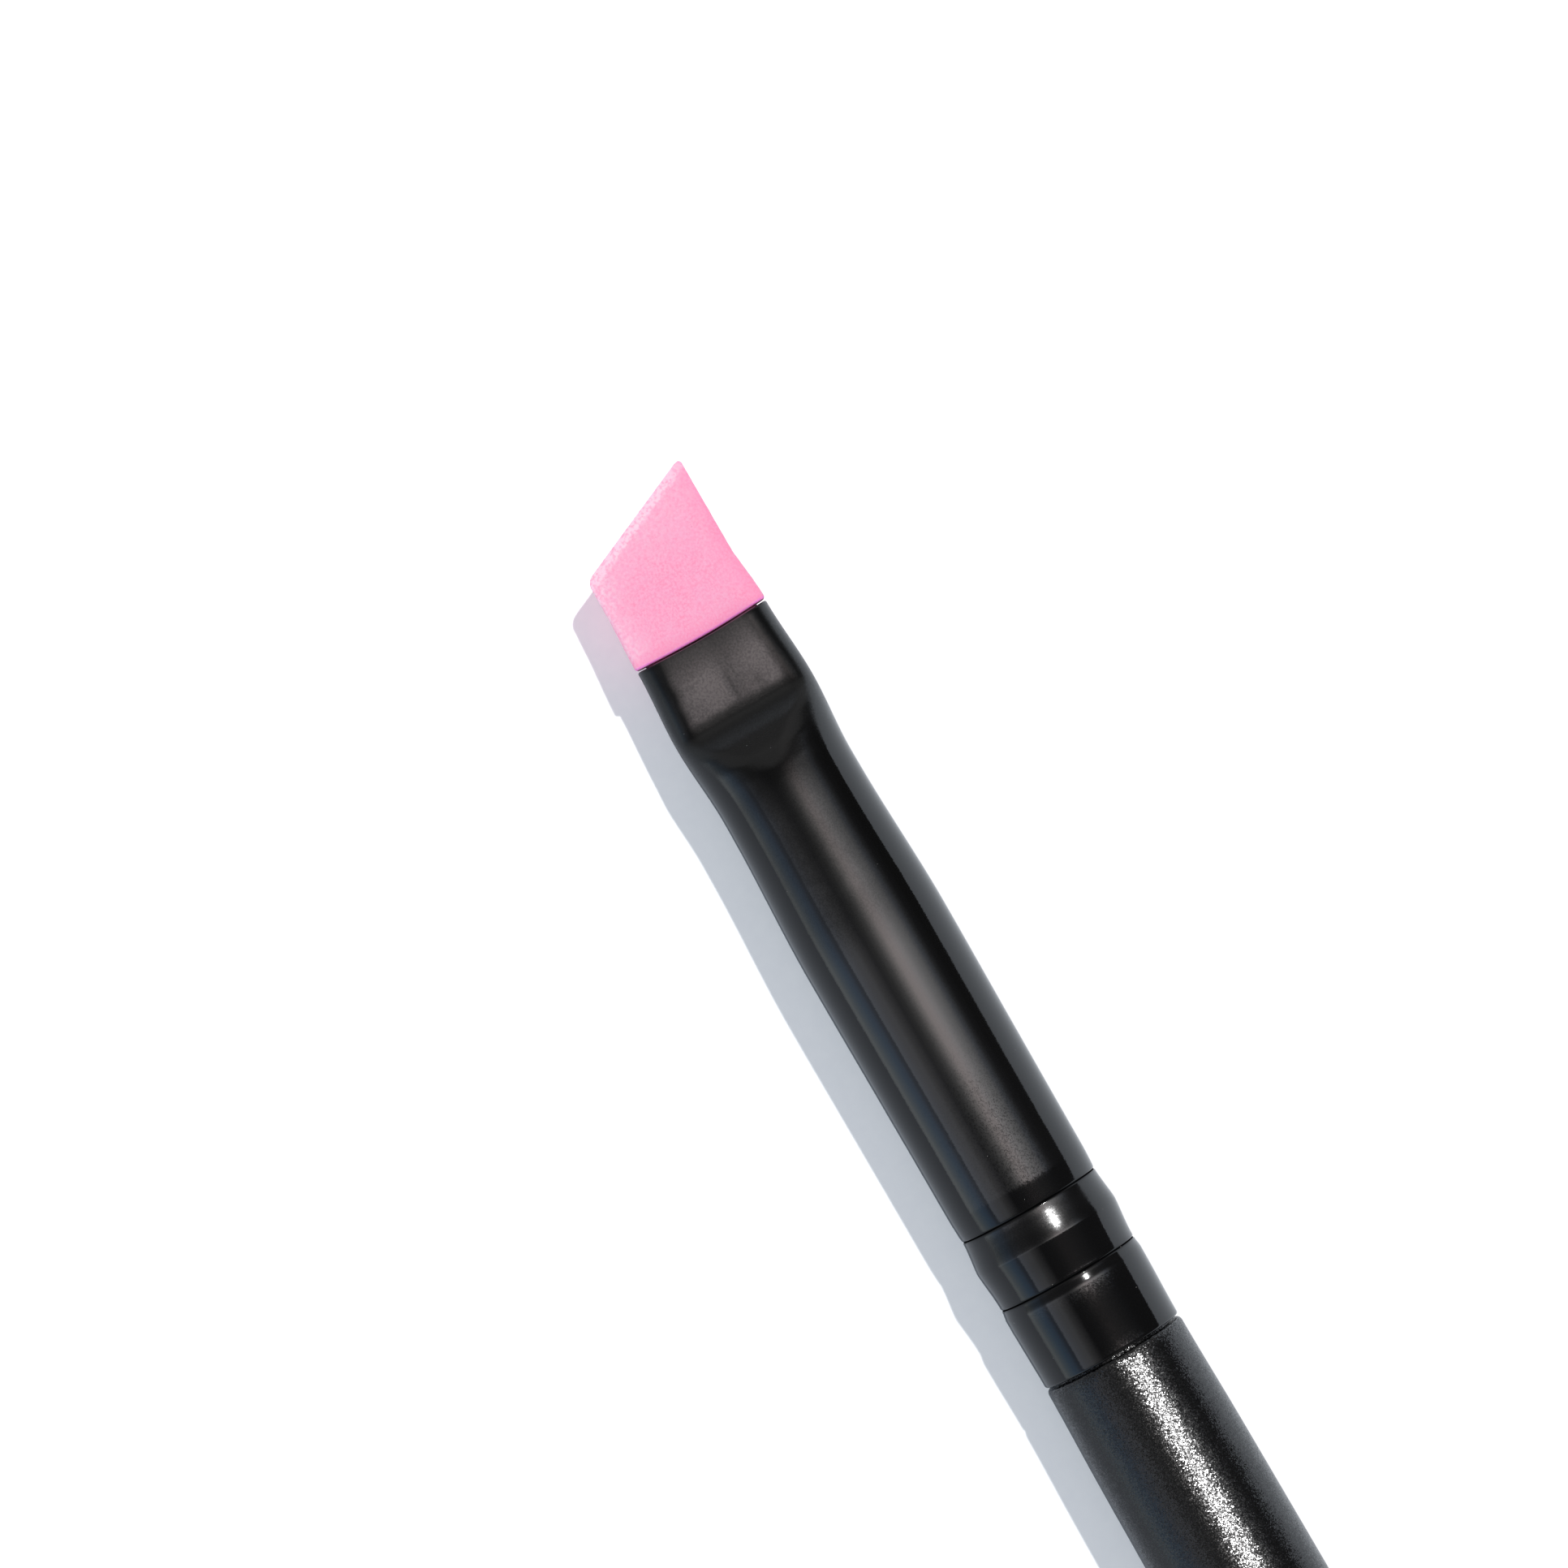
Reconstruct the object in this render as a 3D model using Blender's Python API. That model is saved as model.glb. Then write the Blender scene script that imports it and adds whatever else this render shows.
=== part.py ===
"""Nail art brush with a slant-cut silicone blade, a flattened aluminium ferrule and a turned wooden handle.

The brush lies along X with its blade towards -X, and +Z is up. A station is a distance in millimetres
along the axis from the mouth of the ferrule: towards the tail it is positive, and towards the blade it is
negative. Every piece is a loft of cross-sections that share one family of shapes: a flat stretch of any
width between two half-ellipses. A round section is the same thing with no flat stretch.
"""

import math

import bmesh
import bpy

MM = 0.001

# Every round section has this many flats, and one of them faces down, so that the brush doesn't roll.
SIDES = 16

# Driving dimensions, in millimetres
FERRULE_LENGTH = 35.6
FERRULE_WALL = 0.35
TAIL_END = 153.4
BELLY_STATION = 75.0
BELLY_DIAMETER = 7.2

PRESSED_LENGTH = 3.7
PRESSED_HALF_THICKNESS = 1.28
MOUTH_HALF_WIDTH = 3.12
MOUTH_FLAT = 2.1
PRESSED_END_HALF_WIDTH = 3.37
PRESSED_END_FLAT = 2.53
ROUND_FROM = 7.4

GROOVE_STATIONS = (28.35, 31.75)
GROOVE_DEPTH = 0.1
GROOVE_HALF_WIDTH = 0.2
BEAD_STATION = 30.1
BEAD_HEIGHT = 0.07
BEAD_HALF_LENGTH = 1.2

BLADE_SHORT_SIDE = 4.43
BLADE_LONG_SIDE = 7.16
BLADE_HALF_WIDTH = 3.05
BLADE_EDGE_HALF_THICKNESS = 0.32
BLADE_EDGE_ROUND = 0.22
BLADE_FLARE = 0.1
BLADE_FLARE_LENGTH = 2.0
BLADE_SIDE_ROUND = 0.8
BLADE_WEDGE_POWER = 1.25
FLEX_STATION = -1.5
FLEX_ANGLE = math.radians(20)
FLEX_SPARE_ANGLE = math.radians(2)

TANG_END = 5.2
TANG_HALF_WIDTH = 2.68
TANG_FLAT = 2.0
TANG_HALF_THICKNESS = 0.86

EPOXY_FRONT = 4.5
EPOXY_BACK = 10.0
TENON_FRONT = 20.5
TENON_CHAMFER = 0.5
GLUE_FRONT = 21.0
GLUE_FILM = 0.1

# Gaps between pieces that touch on the real brush
JOINT_GAP = 0.08
FIT_GAP = 0.04
FLEX_GAP = 0.1

BLADE_RISE = (BLADE_LONG_SIDE - BLADE_SHORT_SIDE) / (2 * BLADE_HALF_WIDTH)
TIP_END = BLADE_EDGE_ROUND * BLADE_RISE - BLADE_LONG_SIDE
X_CENTRE = (TIP_END + TAIL_END) / 2
AXIS_HEIGHT = BELLY_DIAMETER / 2

# Round diameters along the ferrule and the handle, from front to back
FERRULE_DIAMETERS = (
    (ROUND_FROM, 6.38),
    (8.6, 6.38),
    (15.1, 6.78),
    (21.0, 6.67),
    (26.0, 6.6),
    (FERRULE_LENGTH, 6.58),
)
SHOULDER_STATION = FERRULE_LENGTH + JOINT_GAP
HANDLE_DIAMETERS = (
    (SHOULDER_STATION, 6.6),
    (39.7, 6.76),
    (47.0, 6.89),
    (BELLY_STATION, BELLY_DIAMETER),
    (105.0, 6.2),
    (135.0, 4.6),
    (TAIL_END, 3.8),
)
SHOULDER_ROUND = 0.35
TAIL_ROUND = 1.9


def smoothly(points, station):
    """The value at a station on a smooth line through (station, value) points, with no overshoot."""
    if station <= points[0][0]:
        return points[0][1]
    for (s0, v0), (s1, v1) in zip(points, points[1:]):
        if station > s1:
            continue
        before = slope_at(points, s0)
        after = slope_at(points, s1)
        span = s1 - s0
        t = (station - s0) / span
        hermite = (2 * t**3 - 3 * t**2 + 1) * v0 + (3 * t**2 - 2 * t**3) * v1
        return hermite + span * ((t**3 - 2 * t**2 + t) * before + (t**3 - t**2) * after)
    return points[-1][1]


def slope_at(points, station):
    """The slope of the smooth line at one of its own points: flat at the ends and where it turns back."""
    for (s0, v0), (s1, v1), (s2, v2) in zip(points, points[1:], points[2:]):
        if s1 == station:
            first = (v1 - v0) / (s1 - s0)
            second = (v2 - v1) / (s2 - s1)
            if first * second <= 0:
                return 0.0
            return 2 * first * second / (first + second)
    return 0.0


def ease(t):
    """0 to 1 with level ends."""
    t = min(max(t, 0.0), 1.0)
    return t * t * (3 - 2 * t)


def between(a, b, share):
    return a + (b - a) * share


def section(half_width, flat, half_thickness):
    """The (y, z) points of a cross-section. Its ends are half-ellipses, set apart by the flat on each side.
    The points are pushed out a little, so that the middle of each side lies on the true curve."""
    outward = 1 / math.cos(math.pi / SIDES)
    points = []
    for side in range(SIDES):
        angle = 2 * math.pi * (side + 0.5) / SIDES
        across = (half_width - flat) * math.cos(angle) * outward
        across += math.copysign(flat, math.cos(angle))
        points.append((across, half_thickness * math.sin(angle) * outward))
    return points


def ring(station, points):
    """A cross-section set at a station of the axis."""
    return [(station, y, z) for y, z in points]


def round_ring(station, radius):
    return ring(station, section(radius, 0.0, radius))


def place(point):
    """A (station, y, z) point in millimetres as a world position in metres."""
    station, y, z = point
    return ((station - X_CENTRE) * MM, y * MM, (z + AXIS_HEIGHT) * MM)


def loft(name, rings, material, tube=False, front_cap=True):
    """A closed solid through the rings. A tube joins its last ring to its first, and has no end caps."""
    mesh = bmesh.new()
    rows = [[mesh.verts.new(place(point)) for point in points] for points in rings]
    pairs = list(zip(rows, rows[1:]))
    if tube:
        pairs.append((rows[-1], rows[0]))
    for near, far in pairs:
        for side in range(SIDES):
            after = (side + 1) % SIDES
            mesh.faces.new((near[side], near[after], far[after], far[side]))
    if not tube:
        mesh.faces.new(rows[-1])
        if front_cap:
            mesh.faces.new(rows[0])
        else:
            knuckle_cap(mesh, rows[0])
    bmesh.ops.recalc_face_normals(mesh, faces=mesh.faces)
    data = bpy.data.meshes.new(name)
    mesh.to_mesh(data)
    mesh.free()
    data.shade_smooth()
    data.set_sharp_from_angle(angle=math.radians(30))
    data.materials.append(material)
    made = bpy.data.objects.new(name, data)
    bpy.context.scene.collection.objects.link(made)
    return made


def knuckle_cap(mesh, row):
    """Closes a ring whose upper and lower halves lean away from each other: two flanks and a land."""
    half = SIDES // 2
    mesh.faces.new(row[:half])
    mesh.faces.new(row[half:])
    mesh.faces.new((row[half - 1], row[half], row[-1], row[0]))


def shift_origin(made, station):
    """Puts an object's origin on the axis at a station, and leaves its shape where it is."""
    x, y, z = place((station, 0, 0))
    for vertex in made.data.vertices:
        vertex.co.x -= x
        vertex.co.y -= y
        vertex.co.z -= z
    made.location = (x, y, z)


def surface(name, colour, roughness, metallic=0.0, translucency=0.0):
    """A Principled BSDF material."""
    material = bpy.data.materials.new(name)
    material.use_nodes = True
    shader = material.node_tree.nodes["Principled BSDF"]
    shader.inputs["Base Color"].default_value = (*colour, 1.0)
    shader.inputs["Roughness"].default_value = roughness
    shader.inputs["Metallic"].default_value = metallic
    shader.inputs["Subsurface Weight"].default_value = translucency
    shader.inputs["Subsurface Scale"].default_value = MM
    return material


def crimp_offset(station):
    """How far the two crimped rings go in, and the bead between them stands out, at a station."""
    offset = 0.0
    for groove in GROOVE_STATIONS:
        distance = abs(station - groove) / GROOVE_HALF_WIDTH
        offset -= GROOVE_DEPTH * (1 - ease(distance))
    return offset + BEAD_HEIGHT * (1 - ease(abs(station - BEAD_STATION) / BEAD_HALF_LENGTH))


def ferrule_section(station, inset=0.0):
    """The ferrule's cross-section at a station, taken in by an inset. Past the pressed length the flat
    closes up and the thickness grows, until the tube is round."""
    along = station / PRESSED_LENGTH
    half_width = between(MOUTH_HALF_WIDTH, PRESSED_END_HALF_WIDTH, ease(along))
    flat = between(MOUTH_FLAT, PRESSED_END_FLAT, min(along, 1.0))
    half_thickness = PRESSED_HALF_THICKNESS
    if station > PRESSED_LENGTH:
        radius = smoothly(FERRULE_DIAMETERS, station) / 2 + crimp_offset(station)
        opened = (station - PRESSED_LENGTH) / (ROUND_FROM - PRESSED_LENGTH)
        half_width = between(PRESSED_END_HALF_WIDTH, radius, ease(opened))
        flat = PRESSED_END_FLAT * (1 - ease(opened))
        half_thickness = between(PRESSED_HALF_THICKNESS, radius, ease(opened))
    return section(half_width - inset, flat, half_thickness - inset)


def steps(first, last, count):
    """Evenly spaced stations, both ends included."""
    return [between(first, last, index / count) for index in range(count + 1)]


def crimp_stations(first, last):
    """The stations that the crimped end needs between two others: five over each groove, and the bead."""
    found = [first, last, *steps(BEAD_STATION - BEAD_HALF_LENGTH, BEAD_STATION + BEAD_HALF_LENGTH, 4)]
    for groove in GROOVE_STATIONS:
        found += steps(groove - GROOVE_HALF_WIDTH, groove + GROOVE_HALF_WIDTH, 4)
    return sorted(set(s for s in found if first <= s <= last))


def make_ferrule(material):
    shoulder = steps(PRESSED_LENGTH, ROUND_FROM, 8)
    barrel = steps(ROUND_FROM, 26.0, 6)
    stations = [0.0, PRESSED_LENGTH / 2, *shoulder, *barrel[1:], *crimp_stations(27.0, FERRULE_LENGTH)]
    outside = [ring(s, ferrule_section(s)) for s in stations]
    inside = [ring(s, ferrule_section(s, FERRULE_WALL)) for s in reversed(stations)]
    return loft("ferrule", outside + inside, material, tube=True)


def slanted_edge(y):
    """The station of the slanted edge at a distance across the blade."""
    return -BLADE_SHORT_SIDE - BLADE_RISE * (y + BLADE_HALF_WIDTH)


def blade_section(half_width, half_thickness):
    """A cross-section of the blade: flat faces and round sides."""
    return section(half_width, half_width - BLADE_SIDE_ROUND * half_thickness, half_thickness)


def blade_ring(share, half_width, half_thickness):
    """A ring of the blade, at a share of the way from the mouth to the slanted edge. It leans with the edge."""
    points = blade_section(half_width, half_thickness)
    return [(share * slanted_edge(y), y, z) for y, z in points]


def blade_half_thickness(share):
    """The blade is as thick as the ferrule at the mouth, and thins out in a wedge to the slanted edge."""
    return between(PRESSED_HALF_THICKNESS, BLADE_EDGE_HALF_THICKNESS, share**BLADE_WEDGE_POWER)


def flared_half_width(station):
    """The blade is a little wider at the mouth."""
    return BLADE_HALF_WIDTH + BLADE_FLARE * (1 - ease(-station / BLADE_FLARE_LENGTH))


def collar_section(station):
    """The blade's upright cross-section at a station next to the mouth."""
    share = station / slanted_edge(0.0)
    return blade_section(flared_half_width(station), blade_half_thickness(share))


def make_tip_blade(material):
    """The bending part of the blade. Its root is a knuckle: a narrow land on the axis of the bend, with
    flanks that lean back to leave the bend its room."""
    lean = math.tan(FLEX_ANGLE + FLEX_SPARE_ANGLE)
    start = FLEX_STATION - FLEX_GAP
    points = collar_section(start)
    land = min(abs(z) for y, z in points)
    rings = [[(start - (abs(z) - land) * lean, y, z) for y, z in points]]
    for share in (0.5, 0.65, 0.8, 0.92):
        rings.append(blade_ring(share, BLADE_HALF_WIDTH, blade_half_thickness(share)))
    rings.append(blade_ring(0.975, BLADE_HALF_WIDTH - 0.06, BLADE_EDGE_HALF_THICKNESS * 0.85))
    rings.append(blade_ring(1.0, BLADE_HALF_WIDTH - BLADE_EDGE_ROUND, BLADE_EDGE_HALF_THICKNESS * 0.4))
    made = loft("tip_blade", rings, material, front_cap=False)
    shift_origin(made, FLEX_STATION)
    return made


def make_tip_root(material):
    """The tang in the ferrule, and the collar of the blade up to the bend."""
    tang = section(TANG_HALF_WIDTH, TANG_FLAT, TANG_HALF_THICKNESS)
    tang_end = section(TANG_HALF_WIDTH - 0.2, TANG_FLAT, TANG_HALF_THICKNESS - 0.2)
    rings = [ring(TANG_END, tang_end), ring(TANG_END - 0.3, tang), ring(-JOINT_GAP, tang)]
    for station in (-JOINT_GAP, FLEX_STATION / 2, FLEX_STATION):
        rings.append(ring(station, collar_section(station)))
    return loft("tip_root", rings, material)


def make_tip_epoxy(material):
    """The casting that fills the ferrule behind the pressed length, with the tang's end in its pocket."""
    pocket = section(TANG_HALF_WIDTH + FIT_GAP, TANG_FLAT, TANG_HALF_THICKNESS + FIT_GAP)
    inset = FERRULE_WALL + FIT_GAP
    rings = [ring(TANG_END + FIT_GAP, pocket), ring(EPOXY_FRONT, pocket)]
    for station in [*steps(EPOXY_FRONT, ROUND_FROM, 5), EPOXY_BACK]:
        rings.append(ring(station, ferrule_section(station, inset)))
    return loft("tip_epoxy", rings, material)


def bore_rings(stations, inset):
    """Rings that follow the inside of the ferrule at a distance from its wall."""
    return [ring(s, ferrule_section(s, FERRULE_WALL + inset)) for s in stations]


def make_tenon_glue(material):
    stations = crimp_stations(GLUE_FRONT, FERRULE_LENGTH - 0.4)
    outside = bore_rings(stations, FIT_GAP)
    inside = bore_rings(reversed(stations), FIT_GAP + GLUE_FILM)
    return loft("tenon_glue", outside + inside, material, tube=True)


def make_handle(material):
    """The tenon, the rounded shoulder, and the long outline from the belly to the rounded tail."""
    inset = 2 * FIT_GAP + GLUE_FILM
    tenon_front = ferrule_section(TENON_FRONT, FERRULE_WALL + inset + TENON_CHAMFER)
    rings = [ring(TENON_FRONT, tenon_front)]
    rings += bore_rings([TENON_FRONT + TENON_CHAMFER, *crimp_stations(27.0, FERRULE_LENGTH)], inset)
    rings += bore_rings([SHOULDER_STATION], inset)
    shoulder_radius = smoothly(HANDLE_DIAMETERS, SHOULDER_STATION + SHOULDER_ROUND) / 2
    for turn in steps(0.0, math.pi / 2, 3):
        station = SHOULDER_STATION + SHOULDER_ROUND * (1 - math.cos(turn))
        rings.append(round_ring(station, shoulder_radius - 0.1 * (1 - math.sin(turn))))
    tail_radius = smoothly(HANDLE_DIAMETERS, TAIL_END - TAIL_ROUND) / 2
    long_run = [38.0, 40.5, 44.0, *steps(50.0, BELLY_STATION, 4)]
    long_run += steps(BELLY_STATION, TAIL_END - TAIL_ROUND, 12)[1:]
    for station in long_run:
        rings.append(round_ring(station, smoothly(HANDLE_DIAMETERS, station) / 2))
    for turn in steps(math.pi / 10, math.pi / 2 - math.pi / 20, 4):
        station = TAIL_END - TAIL_ROUND + TAIL_ROUND * math.sin(turn) / math.cos(math.pi / 20)
        rings.append(round_ring(station, tail_radius * math.cos(turn)))
    return loft("handle", rings, material)


def clear_scene():
    for thing in list(bpy.data.objects):
        bpy.data.objects.remove(thing, do_unlink=True)


def main():
    clear_scene()
    silicone = surface("pink_silicone", (0.98, 0.39, 0.58), 0.4, translucency=0.6)
    lacquer = surface("black_lacquer", (0.008, 0.008, 0.009), 0.12)
    paint = surface("black_sparkle_paint", (0.01, 0.011, 0.013), 0.4)
    epoxy = surface("clear_epoxy", (0.75, 0.68, 0.5), 0.2)
    glue = surface("wood_glue", (0.8, 0.74, 0.6), 0.5)
    make_tip_blade(silicone)
    make_tip_root(silicone)
    make_ferrule(lacquer)
    make_tip_epoxy(epoxy)
    make_tenon_glue(glue)
    make_handle(paint)


main()
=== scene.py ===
"""Looks of the nail art brush: a slant-cut silicone blade, a pressed and crimped lacquered ferrule, and a
painted wooden handle. The brush lies along X, with its blade towards -X.

A station is a distance in millimetres along the brush from the mouth of the ferrule: towards the tail it is
positive, and towards the blade it is negative. Stations, widths and heights are in millimetres from the
brush's axis, and place() turns them into metres in the frame.
"""

import math

import bmesh
import bpy
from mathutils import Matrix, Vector, noise


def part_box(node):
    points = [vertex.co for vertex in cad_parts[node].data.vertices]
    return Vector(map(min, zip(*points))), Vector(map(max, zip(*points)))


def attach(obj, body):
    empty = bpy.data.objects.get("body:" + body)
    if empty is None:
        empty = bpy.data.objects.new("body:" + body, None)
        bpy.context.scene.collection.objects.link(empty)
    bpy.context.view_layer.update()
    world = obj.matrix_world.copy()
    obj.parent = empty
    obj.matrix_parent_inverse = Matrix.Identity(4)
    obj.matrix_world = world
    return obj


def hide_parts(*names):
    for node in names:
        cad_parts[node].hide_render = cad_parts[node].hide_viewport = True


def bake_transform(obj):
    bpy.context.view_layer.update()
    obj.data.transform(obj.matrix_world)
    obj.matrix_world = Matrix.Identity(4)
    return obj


MM = 0.001
SIDES = 192
CURVE_STEPS = 240
SHARP_ANGLE = math.radians(50)

# The ferrule: a tube, pressed flat at its mouth
FERRULE_LENGTH = 35.6
FERRULE_WALL = 0.35
PRESSED_LENGTH = 3.7
PRESSED_HALF_THICKNESS = 1.28
MOUTH_HALF_WIDTH = 3.19
MOUTH_FLAT = 2.1
PRESSED_END_HALF_WIDTH = 3.37
PRESSED_END_FLAT = 2.45
ROUND = 2.0
ROUND_FROM = 7.4
BARREL_END = 27.0
CRIMPS_FROM = 27.1
LIP_ROUND = 0.1
MOUTH_BOW = 0.12
MOUTH_BOW_LENGTH = 2.0
HALF_WIDTHS = (
    (ROUND_FROM, 3.18),
    (8.6, 3.19),
    (15.1, 3.39),
    (21.0, 3.355),
    (26.0, 3.33),
    (35.6, 3.31),
)
HALF_HEIGHTS = (
    (0.0, 1.28),
    (1.4, 1.29),
    (3.2, 1.25),
    (3.6, 1.27),
    (4.9, 2.3),
    (5.8, 2.85),
    (6.6, 3.04),
    (7.6, 3.12),
    (9.5, 3.2),
    (12.3, 3.3),
    (15.6, 3.385),
    (21.0, 3.37),
    (26.0, 3.34),
    (35.6, 3.31),
)

# How far the crimped end stands off the line of the barrel
CRIMPS = (
    (27.2, 0.0),
    (28.1, -0.03),
    (28.35, -0.05),
    (28.6, -0.04),
    (29.0, 0.0),
    (29.86, 0.1),
    (29.9, 0.102),
    (29.94, 0.1),
    (31.65, -0.03),
    (31.8, -0.03),
    (32.3, 0.03),
    (32.45, 0.03),
    (35.6, -0.02),
)
GROOVE_STATIONS = (28.35, 31.75)
GROOVE_DEPTH = 0.045
GROOVE_HALF_WIDTH = 0.09

# Soft marks of the pressed faces. Each has a station, a distance across, a length, a width and a height,
# which is in millimetres outwards for a dent and a share of the full painted reflection for a mark in it
DENTS = (
    (2.1, -1.55, 1.0, 0.8, 0.06),
    (2.4, 0.6, 0.9, 0.62, 0.05),
    (2.5, -0.2, 0.6, 0.09, -0.012),
    (1.4, 0.4, 0.6, 0.08, -0.006),
    (2.95, 1.3, 0.3, 0.3, -0.016),
    (0.5, 1.4, 0.5, 0.7, -0.012),
)
PAINTED_REFLECTION_MARKS = (
    (2.2, -0.75, 0.9, 0.55, 0.3),
    (0.0, 1.7, math.inf, 0.4, 0.22),
    (0.0, 0.3, math.inf, 0.25, -0.16),
    (2.5, 0.1, 0.6, 0.06, -0.3),
    (2.9, 1.25, 0.25, 0.18, -0.3),
)

# How rough the dented faces are, where the dents fade out, and how far past the pressed length they reach
DENT_ROUGHNESS = 0.006
DENT_FADE = (2.6, 4.2)
DENTED_PAST_PRESSED = 0.6

# The painted reflection, a brownish haze in the pressed faces' colour: its level between its marks, and how
# it fades at the mouth, at the back and past the flat's sides
PAINTED_REFLECTION_LEVEL = 0.68
PAINTED_REFLECTION_MIDDLE = 0.05
PAINTED_REFLECTION_SIDE_WAVE = 0.1
PAINTED_REFLECTION_SIDE_FADE = (-0.4, 0.2)
PAINTED_REFLECTION_AT_MOUTH = 0.25
PAINTED_REFLECTION_FULL_FROM = 1.9
PAINTED_REFLECTION_BACK_WAVE = 0.12
PAINTED_REFLECTION_BACK_FADE = (3.0, 3.45)

# Where the lacquer is satin, and where its gloss is turned off as painted shade: in the scored grooves and
# at the pressed faces' corners
SATIN_FADE = (4.2, 7.0)
SATIN_RING = 29.0
SATIN_RING_WIDTH = 0.5
SATIN_RING_SHARE = 0.4
GROOVE_SHADE_WIDTH = 0.045
CORNER_SHADE = 0.4
CORNER_SHADE_PAST_FLAT = 0.08
CORNER_SHADE_WIDTH = 0.2
CORNER_SHADE_FADE = (3.4, 4.2)

# The handle
SHOULDER_STATION = 35.72
SHOULDER_ROUND = 0.26
SHOULDER_INSET = 0.14
SHOULDER_WAVE = 0.02
RIM_FADE = (0.15, 0.6)
TAIL_END = 153.4
TAIL_ROUND = 1.9
HANDLE_RADII = (
    (SHOULDER_STATION, 3.31),
    (39.7, 3.38),
    (47.0, 3.445),
    (75.0, 3.6),
    (105.0, 3.1),
    (135.0, 2.3),
    (TAIL_END, 1.9),
)
HANDLE_WAVE = 0.008
TENON_FRONT = 20.5
TENON_CHAMFER = 0.5

# The silicone tip
BLADE_SHORT_SIDE = 4.43
BLADE_LONG_SIDE = 7.14
BLADE_LEFT = -3.12
BLADE_RIGHT = 3.0
BLADE_RISE = (BLADE_LONG_SIDE - BLADE_SHORT_SIDE) / (BLADE_RIGHT - BLADE_LEFT)
LEFT_FLARE = 0.1
RIGHT_FLARE = 0.22
FLARE_LENGTH = 2.9
BASE_GAP = 0.07
BASE_BOW_SHARE = 0.25
BASE_ROUND = 0.15
NECK_WIDTH_SHARE = 0.9
NECK_HEIGHT_SHARE = 0.86
BASE_HALF_THICKNESS = 1.06
EDGE_HALF_THICKNESS = 0.34
EDGE_END_HALF_THICKNESS = 0.13
BEVEL_SHARE = 0.93
WEDGE_POWER = 1.25
BEVEL_POWER = 1.4
BLADE_SQUARENESS = 7.0
LEFT_CORNER_ROUND = 0.34
RIGHT_CORNER_ROUND = 0.29
LEFT_WAVE = 0.012
RIGHT_WAVE = 0.022
FACE_WAVE = 0.012
TANG_FRONT = 0.6
TANG_END = 5.2
TANG_HALF_WIDTH = 2.68
TANG_SQUARENESS = 5.0
TANG_HALF_THICKNESS = 0.86
TANG_ROUND = 0.2

# Where the silicone is painted paler, as painted sheen: by its thin slanted edge, along its wedge, on its
# left, and as a painted highlight in a faint streak
EDGE_SHEEN_FADE = (0.2, 0.62)
PALE_WEDGE = 0.22
PALE_WEDGE_FROM = 0.45
PALE_WEDGE_LENGTH = 0.5
LEFT_SHEEN = 0.45
LEFT_SHEEN_WIDTH = 0.6
STREAK_HIGHLIGHT = 0.07
STREAK_WIDTH = 0.12
STREAK_FROM = (-4.6, 2.6)
STREAK_TO = (-2.5, 1.55)
STREAK_BOW = 0.15

# Where it looks deep, and the painted highlight on the rounded rim and the painted shade in the gap at its
# base
DEEP_BASE_FADE = (0.0, 0.9)
DEEP_SIDE = 0.6
DEEP_SIDE_WIDTH = 0.4
BASE_RIM = 0.14
BASE_RIM_WIDTH = 0.035
GAP_SHADE_FADE = (0.06, 0.12)

# The castings inside the ferrule
EPOXY_FRONT = 4.5
EPOXY_BACK = 10.0
EPOXY_ROUND_LENGTH = 0.5
EPOXY_ROUND_DEPTH = 0.3
GLUE_FRONT = 21.0
GLUE_BACK = 35.2
FIT_GAP = 0.04
GLUE_FILM = 0.1

# The camera looks straight down at a point of the brush
VIEW_STATION = 7.3
VIEW_ACROSS = -0.085
VIEW_WIDTH = 67.79
VIEW_TURN = math.radians(60.12)
LENS = 200.0
SENSOR = 36.0

# In metres
CLIP_START = 0.01
FLOOR_REACH = 3.0
GLINT_DISTANCE = 0.6

# The lights. A direction points from the brush to its light
KEY_DIRECTION = Vector((-0.252, 0.378, 0.891))
KEY_STRENGTH = 3.6
KEY_ANGLE = math.radians(1.6)
HANDLE_KEY_DIRECTION = Vector((0.0, 0.378, 0.926))
HANDLE_KEY_STRENGTH = 6.2
GLINT_STATION = 30.6
GLINT_POWER = 90.0
GLINT_CONE = math.radians(1.0)
GLINT_BLEND = 0.4
BOUNCE_CENTRE = (-3.2, -2.6, -1.0)
BOUNCE_LENGTH = 4.5
BOUNCE_WIDTH = 3.0
BOUNCE_COLOUR = (1.0, 0.0, 0.25)
BOUNCE_POWER = 1.4e-5

# The even fill light: a colour on each side of the brush and one in front, and where they change
FILL_NEAR_SIDE = (1.13, 1.22, 1.33)
FILL_FAR_SIDE = (0.42, 0.45, 0.48)
FILL_FAR_FRONT = (0.06, 0.0, 0.02)
FILL_SIDE_CHANGE = (-0.25, 0.25)
FILL_FRONT_CHANGE = (-0.3, 0.1)

# What the gloss reflects, in bands along the brush. Each stop has an angle from overhead towards +Y, in
# degrees, and a colour
FRONT_LIGHT = (
    (-18, (0.3, 0.3, 0.32)),
    (-9, (0.5, 0.5, 0.5)),
    (-2, (1.0, 0.98, 0.97)),
    (2, (1.67, 1.6, 1.58)),
    (9, (3.3, 3.05, 3.0)),
    (13, (4.4, 3.95, 3.9)),
    (20, (4.7, 4.25, 4.25)),
    (27, (4.2, 4.0, 4.05)),
    (35, (3.0, 2.95, 3.0)),
    (43, (2.1, 2.1, 2.15)),
    (51, (0.95, 1.02, 1.16)),
    (59, (0.3, 0.31, 0.33)),
    (65, (0.1, 0.1, 0.11)),
    (76, (0.03, 0.03, 0.03)),
    (91, (0.02, 0.02, 0.02)),
)
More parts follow.
